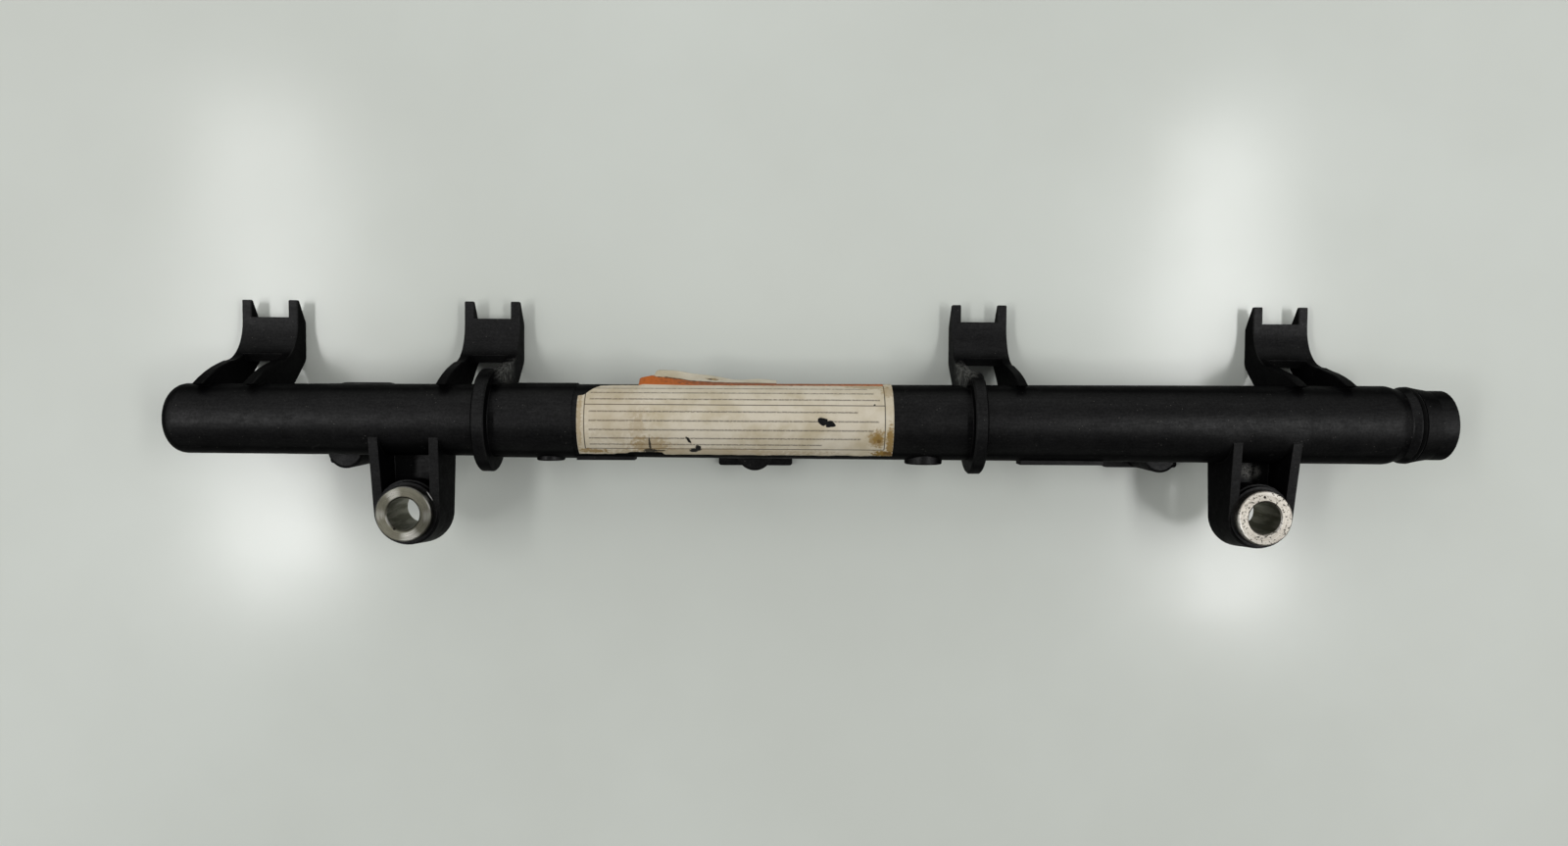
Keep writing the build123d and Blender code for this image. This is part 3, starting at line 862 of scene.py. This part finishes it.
paperBack = {
    "colour": (0.66, 0.63, 0.55, 1),
    "soiled": (0.40, 0.34, 0.24, 1),
    "soiling": {"Scale": 300.0, "Low": 0.35, "High": 0.7},
    "roughness": (0.7, 0.9),
    "roughnessScale": 700.0,
    "fibres": (3000.0, 4.0, 0.7),
    "bumpStrength": 0.4,
    "bumpDepth": 0.05 * mm,
}


def makePaperBack():
    material, tree, shader, place = newMaterial("paper back")
    soiled = placed(tree, patches, Place=place, **paperBack["soiling"])["Mask"]
    feed(tree, shader.inputs["Base Color"], mixed(tree, soiled, paperBack["colour"], paperBack["soiled"]))
    roughness = varied(tree, cloudy(tree, place, paperBack["roughnessScale"]), *paperBack["roughness"])
    feed(tree, shader.inputs["Roughness"], roughness)
    fibres = cloudy(tree, place, *paperBack["fibres"])
    normal = bumped(tree, fibres, paperBack["bumpStrength"], paperBack["bumpDepth"])
    feed(tree, shader.inputs["Normal"], normal)
    return material


label = bpy.data.objects.new("paperLabel", makeLabelMesh())
bpy.context.scene.collection.objects.link(label)
label.data.materials.append(makePrintedPaper())
label.data.materials.append(makePaperBack())
sheet = label.modifiers.new("thickness", "SOLIDIFY")
sheet.thickness = paper["thickness"] * mm
sheet.offset = 1.0
sheet.material_offset = 1
sheet.material_offset_rim = 1
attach(label, "root")
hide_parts("paper_label")
print("label made:", len(label.data.polygons), "faces")


# The floor, the light and the camera
stageLook = {
    "floor": (0.735, 0.772, 0.718, 1),
    "darker": (0.680, 0.710, 0.655, 1),
    "clouds": {"Scale": 5.0, "Low": 0.3, "High": 0.7},
    "floorHalf": 3.0,
    "floorZ": -0.0001,
    "roughness": (0.17, 0.24),
    "roughnessScale": 12.0,
    "shine": 0.45,
    "world": (1.0, 1.0, 1.0, 1),
    "worldStrength": 0.12,
    "lamps": [  # place, width, length, glow
        ((-0.55, 0.04, 0.90), 0.10, 0.54, 11.0),
        ((0.50, 0.02, 0.90), 0.10, 0.56, 10.5),
        ((-0.524, -0.183, 0.90), 0.12, 0.10, 8.0),
        ((0.528, -0.2, 0.90), 0.12, 0.10, 8.0),
        ((0.488, 0.074, 0.90), 0.10, 0.10, 6.0),
        ((-1.50, 0.10, 0.90), 1.60, 2.00, 0.80),
        ((1.50, 0.10, 0.90), 1.60, 2.00, 0.85),
        ((-0.25, 0.75, 1.05), 1.00, 0.50, 0.95),
        ((0.0, 1.60, 0.60), 2.40, 1.20, 0.62),
    ],
    "cameraPlace": (0.0040696, 0.0116215, 0.3116927),
    "cameraTurn": (-2.41120668, -0.71749243, 0.37784829),
    "lens": 25.02225,
    "sensorWidth": 36.0,
    "nearest": 0.01,
}


def makeFloor():
    half = stageLook["floorHalf"]
    z = stageLook["floorZ"]
    mesh = bpy.data.meshes.new("floor")
    corners = [(-half, -half, z), (half, -half, z), (half, half, z), (-half, half, z)]
    mesh.from_pydata(corners, [], [(0, 1, 2, 3)])
    floor = bpy.data.objects.new("floor", mesh)
    bpy.context.scene.collection.objects.link(floor)
    material, tree, shader, place = newMaterial("pale floor")
    cloud = placed(tree, patches, Place=place, **stageLook["clouds"])["Mask"]
    feed(tree, shader.inputs["Base Color"], mixed(tree, cloud, stageLook["floor"], stageLook["darker"]))
    roughness = varied(tree, cloudy(tree, place, stageLook["roughnessScale"]), *stageLook["roughness"])
    feed(tree, shader.inputs["Roughness"], roughness)
    shader.inputs["Specular IOR Level"].default_value = stageLook["shine"]
    mesh.materials.append(material)


# A lamp faces the frame's origin, with its length along Y as far as that allows.
# Its energy follows its size, so that glow is how bright its face looks.
def makeLamp(place, width, length, glow):
    lamp = bpy.data.lights.new("soft lamp", "AREA")
    lamp.shape = "RECTANGLE"
    lamp.size = width
    lamp.size_y = length
    lamp.energy = glow * math.pi * width * length
    thing = bpy.data.objects.new("softLamp", lamp)
    outward = Vector(place).normalized()
    across = Vector((0, 1, 0)).cross(outward).normalized()
    facing = Matrix((across, outward.cross(across), outward)).transposed()
    thing.location = place
    thing.rotation_euler = facing.to_euler()
    bpy.context.scene.collection.objects.link(thing)


makeFloor()
for lampLook in stageLook["lamps"]:
    makeLamp(*lampLook)
world = bpy.data.worlds.new("soft room")
world.use_nodes = True
world.node_tree.nodes["Background"].inputs["Color"].default_value = stageLook["world"]
world.node_tree.nodes["Background"].inputs["Strength"].default_value = stageLook["worldStrength"]
bpy.context.scene.world = world
bpy.context.scene.view_settings.view_transform = "Standard"

lens = bpy.data.cameras.new("camera")
lens.lens = stageLook["lens"]
lens.sensor_width = stageLook["sensorWidth"]
lens.clip_start = stageLook["nearest"]
camera = bpy.data.objects.new("camera", lens)
camera.location = stageLook["cameraPlace"]
camera.rotation_euler = [math.radians(angle) for angle in stageLook["cameraTurn"]]
bpy.context.scene.collection.objects.link(camera)
bpy.context.scene.camera = camera
print("floor, light and camera set")
